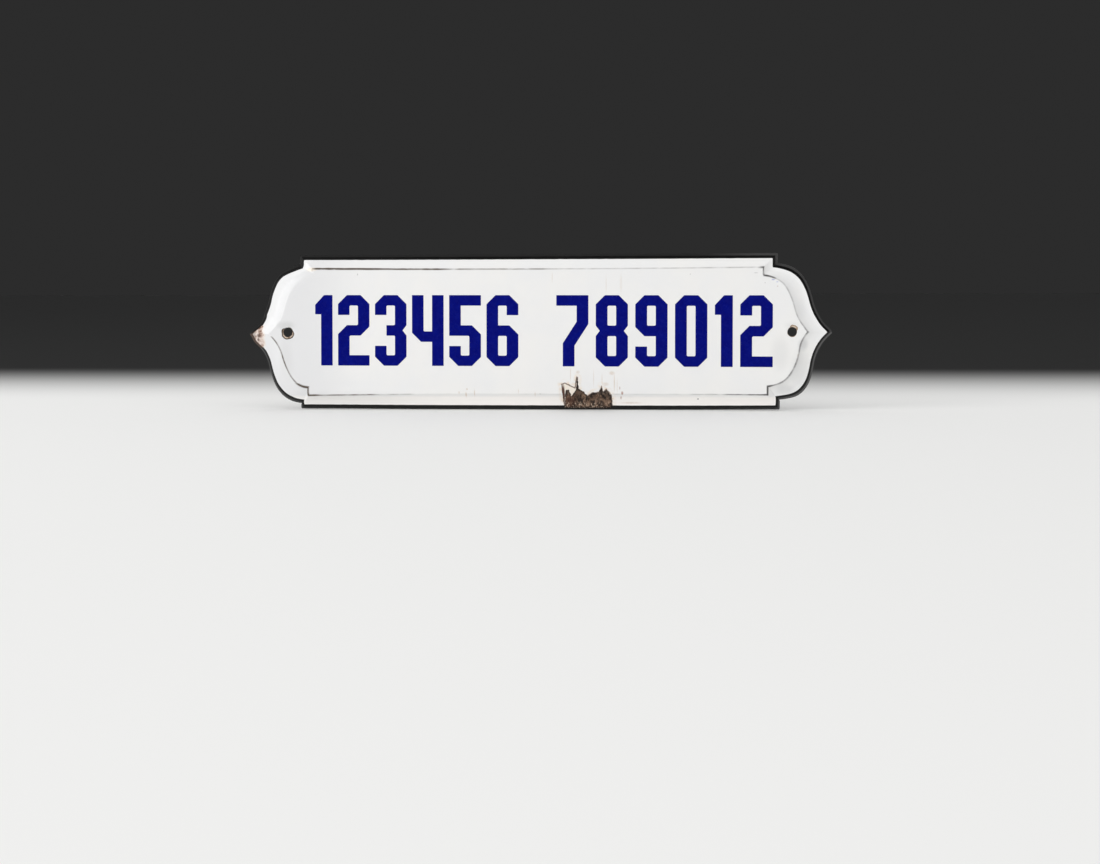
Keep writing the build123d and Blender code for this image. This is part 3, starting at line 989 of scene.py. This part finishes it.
def marked_and_shaded(nodes, base):
    """The enamel's colour with all marks and the spots of painted shade on it. Painted shade is even and the
    other marks are broken up.
    """
    uneven = nodes.span(nodes.noise(0.8, 3, 0.6), 0.3, 0.6, 0.45, 1.0)
    for tone, places, breakup in (
        (STAIN, STAINS + STREAKS, uneven),
        (RUST, RUST_SPOTS, uneven),
        (DARK_GREY, NICKS, uneven),
        (BLUE_SMEAR, SMEARS, uneven),
        (ORANGE, CORNER_STAINS, uneven),
        # The last entry lays on the painted shade.
        (PAINTED_SHADE, PAINTED_SHADE_SPOTS, 1.0),
    ):
        for x, z, reach_x, reach_z, amount in places:
            base = nodes.tint(base, tone, nodes.spot(x, z, reach_x, reach_z, 0.8), amount, breakup)
    return base


def white_colour(nodes, crack, tip):
    """White, with painted shade at the left end and painted light along the bottom, which is also warmer,
    with stains, marks, painted shade spots and a dirty crease.
    """
    mottle = nodes.noise(28, 3, 0.5)
    whites = nodes.tint((238, 238, 238), (241, 240, 238), nodes.span(mottle, 0.3, 0.7))
    # Painted shade: the white turns greyer towards the left end.
    white = nodes.tint(whites, (229, 229, 230), nodes.span(nodes.across, -110, -155))
    lower_border = nodes.span(nodes.height, 0.5 - crease.top_z, -1.5 - crease.top_z)
    # Painted light, on a warm tint: the lower border is lighter and warmer, as if lit from below.
    warm_with_painted_light = nodes.tint(white, (254, 250, 246), lower_border, 0.8)
    near_crack = nodes.product(nodes.span(crack, -3.4, -0.1), nodes.span(nodes.noise(3, 3), 0.35, 0.7), 0.8)
    near_tip = nodes.product(nodes.span(tip, -1.6, -0.1), 0.4)
    stained = marked_and_shaded(nodes, nodes.tint(warm_with_painted_light, (232, 210, 184), nodes.math("MAXIMUM", near_crack, near_tip)))
    uneven = nodes.span(nodes.noise(1.5, 3, 0.6, (0.3, 1, 1)), 0.2, 0.5, 0.7, 1.1)
    dirt = nodes.product(nodes.attribute("crease_grime"), uneven)
    dirt_colour = nodes.tint((84, 72, 60), (84, 82, 82), nodes.span(nodes.across, 0, 140))
    return nodes.mix(nodes.span(dirt, 0.03, 0.75), stained, dirt_colour)


def cracked_colour(nodes, white, crack):
    """The enamel with the cracked stretch over the bottom chip and the dark lines round it."""
    flaked = nodes.tint(white, (239, 230, 218), nodes.span(crack, -0.05, 0.1))
    edge_line = nodes.product(nodes.span(crack, -0.4, -0.1), nodes.span(crack, 0.75, 0.3), 0.8)
    outlined = nodes.tint(flaked, (92, 66, 54), edge_line)
    left_crack = nodes.spot(BOTTOM_CHIP_FROM_MIDDLE + 1.1, 6.5 - front_edge.top_z, 1.5, 9.0)
    return nodes.tint(outlined, (84, 56, 46), left_crack, nodes.span(crack, -0.2, 0.1))


def border_light_and_shade(nodes, base, past_white):
    """The enamel with painted shade by the crease at the right end and painted light by the edge at the top
    of both ends.
    """
    right_end = nodes.span(nodes.across, 148, 156)
    left_end = nodes.span(nodes.across, -146, -154)
    upper = nodes.span(nodes.height, -6, 6)
    past_crease = nodes.span(past_white, -6.6, -6.2)
    # Painted shade: the right end's cove is darker near the crease.
    shaded = nodes.tint(base, PAINTED_SHADE, right_end, past_crease, nodes.span(past_white, -3.0, -5.8), 0.3)
    # Painted light: the upper coves of both ends turn paler towards the edge.
    painted_light_right = nodes.product(right_end, upper, nodes.span(past_white, -3.0, -0.6), 0.5)
    painted_light_left = nodes.product(left_end, upper, nodes.span(past_white, -4.6, -1.4), 0.5)
    return nodes.tint(shaded, (252, 252, 252), nodes.math("MAXIMUM", painted_light_right, painted_light_left))


def rim_with_painted_reflection(nodes, past_white):
    """Black enamel with a painted grey reflection towards the cut edge, most of all at the right."""
    black = nodes.tint((5, 5, 5), (15, 14, 13), nodes.span(nodes.noise(6, 4, 0.6), 0.35, 0.7))
    right = nodes.span(nodes.across, 100, 150, 0.35, 1.0)
    # Painted reflection: grey towards the cut edge, strongest at the right end.
    return nodes.tint(black, (78, 77, 77), nodes.span(past_white, 1.6, 2.6), right, 0.8)


def hole_colour(nodes, hole):
    """The rings of a chipped hole: a dark line, then ground coat and then steel."""
    line = nodes.tint((72, 60, 50), (158, 138, 114), nodes.span(nodes.across, -10, 10))
    flakes = nodes.span(nodes.noise(2.2, 3, 0.6), 0.44, 0.58)
    ground_coat = nodes.tint((206, 188, 170), (140, 116, 98), flakes)
    band = nodes.mix(nodes.span(hole, 0.45, 0.85), line, ground_coat)
    return nodes.tint(band, (46, 34, 28), nodes.span(hole, 1.3, 1.7))


def front_enamel():
    """White enamel with dirt along the crease, stains, painted light and shade, and chips down to the steel,
    and the black rim with a painted reflection.
    """
    nodes = Surface("white_and_black_enamel")
    names = ("crack_inside", "core_inside", "tip_inside", "hole_inside", "past_white")
    crack, core, tip, hole, past_white = [nodes.attribute(name) for name in names]
    ragged = nodes.span(nodes.noise(1.0, 3, 0.6), 0, 1, -0.3, 0.3)
    on_rim = nodes.span(past_white, -0.06, 0.06)
    core_bare = nodes.span(nodes.math("ADD", core, ragged), -0.06, 0.06)
    tip_bare = nodes.span(nodes.math("ADD", tip, ragged), -0.06, 0.06)
    hole_bare = nodes.span(hole, -0.05, 0.05)

    white = border_light_and_shade(nodes, cracked_colour(nodes, white_colour(nodes, crack, tip), crack), past_white)
    two_tone = nodes.mix(on_rim, white, rim_with_painted_reflection(nodes, past_white))
    with_core = nodes.mix(core_bare, two_tone, steel_colour(nodes, core))
    with_tip = nodes.mix(tip_bare, with_core, tip_steel_colour(nodes, past_white))

    worn = nodes.math("MAXIMUM", nodes.math("MAXIMUM", core_bare, tip_bare), hole_bare)
    gloss = nodes.span(nodes.noise(9, 3), 0.3, 0.7, 0.14, 0.24)
    waves = nodes.bump(nodes.noise(14, 2, 0.4), 0.05, 0.5)
    peel = nodes.bump(nodes.noise(1.1, 2, 0.5), 0.004, 0.5, waves)
    rough = nodes.product(worn, nodes.noise(0.9, 3, 0.6, (1, 1, 0.35)))
    nodes.set(
        Base_Color=nodes.mix(hole_bare, with_tip, hole_colour(nodes, hole)),
        Roughness=nodes.blend(worn, nodes.blend(on_rim, gloss, 0.6), 0.85),
        Specular_IOR_Level=0.4,
        Normal=nodes.bump(rough, 0.12, 0.8, peel),
    )
    return nodes.owner


def back_enamel():
    """Dark ground coat on the back, speckled and a little rusty."""
    nodes = Surface("ground_coat")
    cloudy = nodes.noise(18, 4, 0.6)
    dark = nodes.tint((30, 30, 34), (52, 52, 56), nodes.span(cloudy, 0.3, 0.7))
    speckled = nodes.tint(dark, (96, 94, 94), nodes.span(nodes.noise(1.3, 2, 0.6), 0.66, 0.74))
    rusty = nodes.span(nodes.noise(7, 5, 0.7), 0.66, 0.76)
    nodes.set(
        Base_Color=nodes.tint(speckled, (96, 60, 40), rusty),
        Roughness=nodes.blend(rusty, nodes.span(cloudy, 0.3, 0.7, 0.28, 0.45), 0.85),
        Specular_IOR_Level=0.4,
        Normal=nodes.bump(nodes.noise(1.6, 3, 0.6), 0.05, 0.6),
    )
    return nodes.owner


def blue_enamel():
    """Deep blue enamel of the numerals."""
    nodes = Surface("blue_enamel")
    nodes.set(
        Base_Color=nodes.tint((0, 6, 110), (1, 12, 119), nodes.span(nodes.noise(5, 3, 0.5), 0.3, 0.7)),
        Roughness=nodes.span(nodes.noise(3, 3), 0.3, 0.7, 0.2, 0.32),
        Specular_IOR_Level=0.06,
        Normal=nodes.bump(nodes.noise(1.0, 2), 0.006, 0.5),
    )
    return nodes.owner


def add_object(name, data):
    """Puts a mesh, a lamp or a camera in the scene."""
    made = bpy.data.objects.new(name, data)
    bpy.context.scene.collection.objects.link(made)
    return made


def make_object(name, mesh, materials):
    """Puts a mesh in the scene with its materials."""
    for material in materials:
        mesh.materials.append(material)
    return add_object(name, mesh)


plaque = make_object("enamelled_plaque", build_sheet(), [front_enamel(), back_enamel()])
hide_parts("plaque")
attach(plaque, "root")

numerals = make_object("numerals", build_numerals(), [blue_enamel()])
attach(numerals, "root")


# The camera, where the photograph was taken from, in metres
IMAGE_WIDTH = 1100
IMAGE_HEIGHT = 864
SENSOR_WIDTH = 36.0
CAMERA_AZIMUTH = radians(4.7)
CAMERA_ELEVATION = radians(1.5)
CAMERA_ROLL = radians(-0.17)
CAMERA_DISTANCE = 1.15
HOLES_SPAN_IN_IMAGE = 504.5
ORIGIN_IN_IMAGE = (537.0, 332.1)

# Lights, in metres and as shares of what makes a white wall render white
SKY_LEVEL = 0.875
BACKGROUND = (0.025, 0.025, 0.025, 1)
KEY_LEVEL = 0.32
KEY_DIRECTION = (-0.80, -0.50, 0.28)
KEY_DISTANCE = 3.0
KEY_SIZE = 1.6

# The floor, in metres, and how far behind the plaque its painted falloff of light starts to turn it dark and
# has done so, in millimetres
FLOOR_SIZE = 30.0
FLOOR_COLOUR = (0.90, 0.90, 0.89, 1)
FLOOR_FALLOFF_COLOUR = (0.0357, 0.0357, 0.0357, 1)
FLOOR_PALE_REACH = 80.0
FLOOR_FADED_REACH = 600.0


def looking_back(direction, distance):
    """The place at a distance in a direction, turned to look back along it."""
    turn = direction.to_track_quat("Z", "Y").to_matrix().to_4x4()
    return Matrix.Translation(direction * distance) @ turn


def add_camera():
    """A long lens level with the plaque, a little to its right."""
    direction = Vector((
        sin(CAMERA_AZIMUTH) * cos(CAMERA_ELEVATION),
        -cos(CAMERA_AZIMUTH) * cos(CAMERA_ELEVATION),
        sin(CAMERA_ELEVATION),
    ))
    lens = bpy.data.cameras.new("camera")
    lens.sensor_width = SENSOR_WIDTH
    metres_between_holes = 2 * HOLE_X * MM * cos(CAMERA_AZIMUTH)
    lens.lens = HOLES_SPAN_IN_IMAGE / metres_between_holes * CAMERA_DISTANCE / IMAGE_WIDTH * SENSOR_WIDTH
    lens.shift_x = (IMAGE_WIDTH / 2 - ORIGIN_IN_IMAGE[0]) / IMAGE_WIDTH
    lens.shift_y = (ORIGIN_IN_IMAGE[1] - IMAGE_HEIGHT / 2) / IMAGE_WIDTH
    lens.clip_end = 100
    camera = add_object("camera", lens)
    camera.matrix_world = looking_back(direction, CAMERA_DISTANCE) @ Matrix.Rotation(CAMERA_ROLL, 4, "Z")
    bpy.context.scene.camera = camera


def add_world():
    """Even soft light all round, and a plain background."""
    world = bpy.data.worlds.new("studio")
    bpy.context.scene.world = world
    nodes = Nodes(world)
    nodes.tree.nodes.clear()
    light = nodes.add("ShaderNodeBackground", {"Color": (1, 1, 1, 1), "Strength": SKY_LEVEL})
    plain = nodes.add("ShaderNodeBackground", {"Color": BACKGROUND})
    seen = nodes.add("ShaderNodeLightPath", {}, "Is Camera Ray")
    for ray in ("Is Glossy Ray", "Is Transmission Ray"):
        seen = nodes.math("MAXIMUM", seen, nodes.add("ShaderNodeLightPath", {}, ray))
    mixed = nodes.add("ShaderNodeMixShader", {0: seen, 1: light, 2: plain})
    output = nodes.tree.nodes.new("ShaderNodeOutputWorld")
    nodes.feed(output.inputs["Surface"], mixed)


def add_key_light():
    """A soft box at the left and above."""
    lamp = bpy.data.lights.new("key", "AREA")
    lamp.shape = "SQUARE"
    lamp.size = KEY_SIZE
    lamp.energy = KEY_LEVEL * pi**2 * KEY_DISTANCE**2
    made = add_object("key", lamp)
    made.matrix_world = looking_back(Vector(KEY_DIRECTION).normalized(), KEY_DISTANCE)


def add_floor():
    """A pale floor at the plaque's lower edge, painted darker behind the plaque as a falloff of light."""
    low = cad_box[0].z
    half = FLOOR_SIZE / 2
    mesh = bpy.data.meshes.new("floor")
    corners = [(-half, -half, low), (half, -half, low), (half, half, low), (-half, half, low)]
    mesh.from_pydata(corners, [], [(0, 1, 2, 3)])
    nodes = Surface("pale_floor")
    # Painted falloff of light: the floor darkens behind the plaque.
    painted_falloff = nodes.span(nodes.behind, FLOOR_PALE_REACH, FLOOR_FADED_REACH)
    nodes.set(
        Base_Color=nodes.mix(painted_falloff, FLOOR_COLOUR, FLOOR_FALLOFF_COLOUR),
        Roughness=0.8,
        Specular_IOR_Level=0.2,
    )
    floor = make_object("floor", mesh, [nodes.owner])


add_camera()
add_world()
add_key_light()
add_floor()
bpy.context.scene.view_settings.view_transform = "Standard"
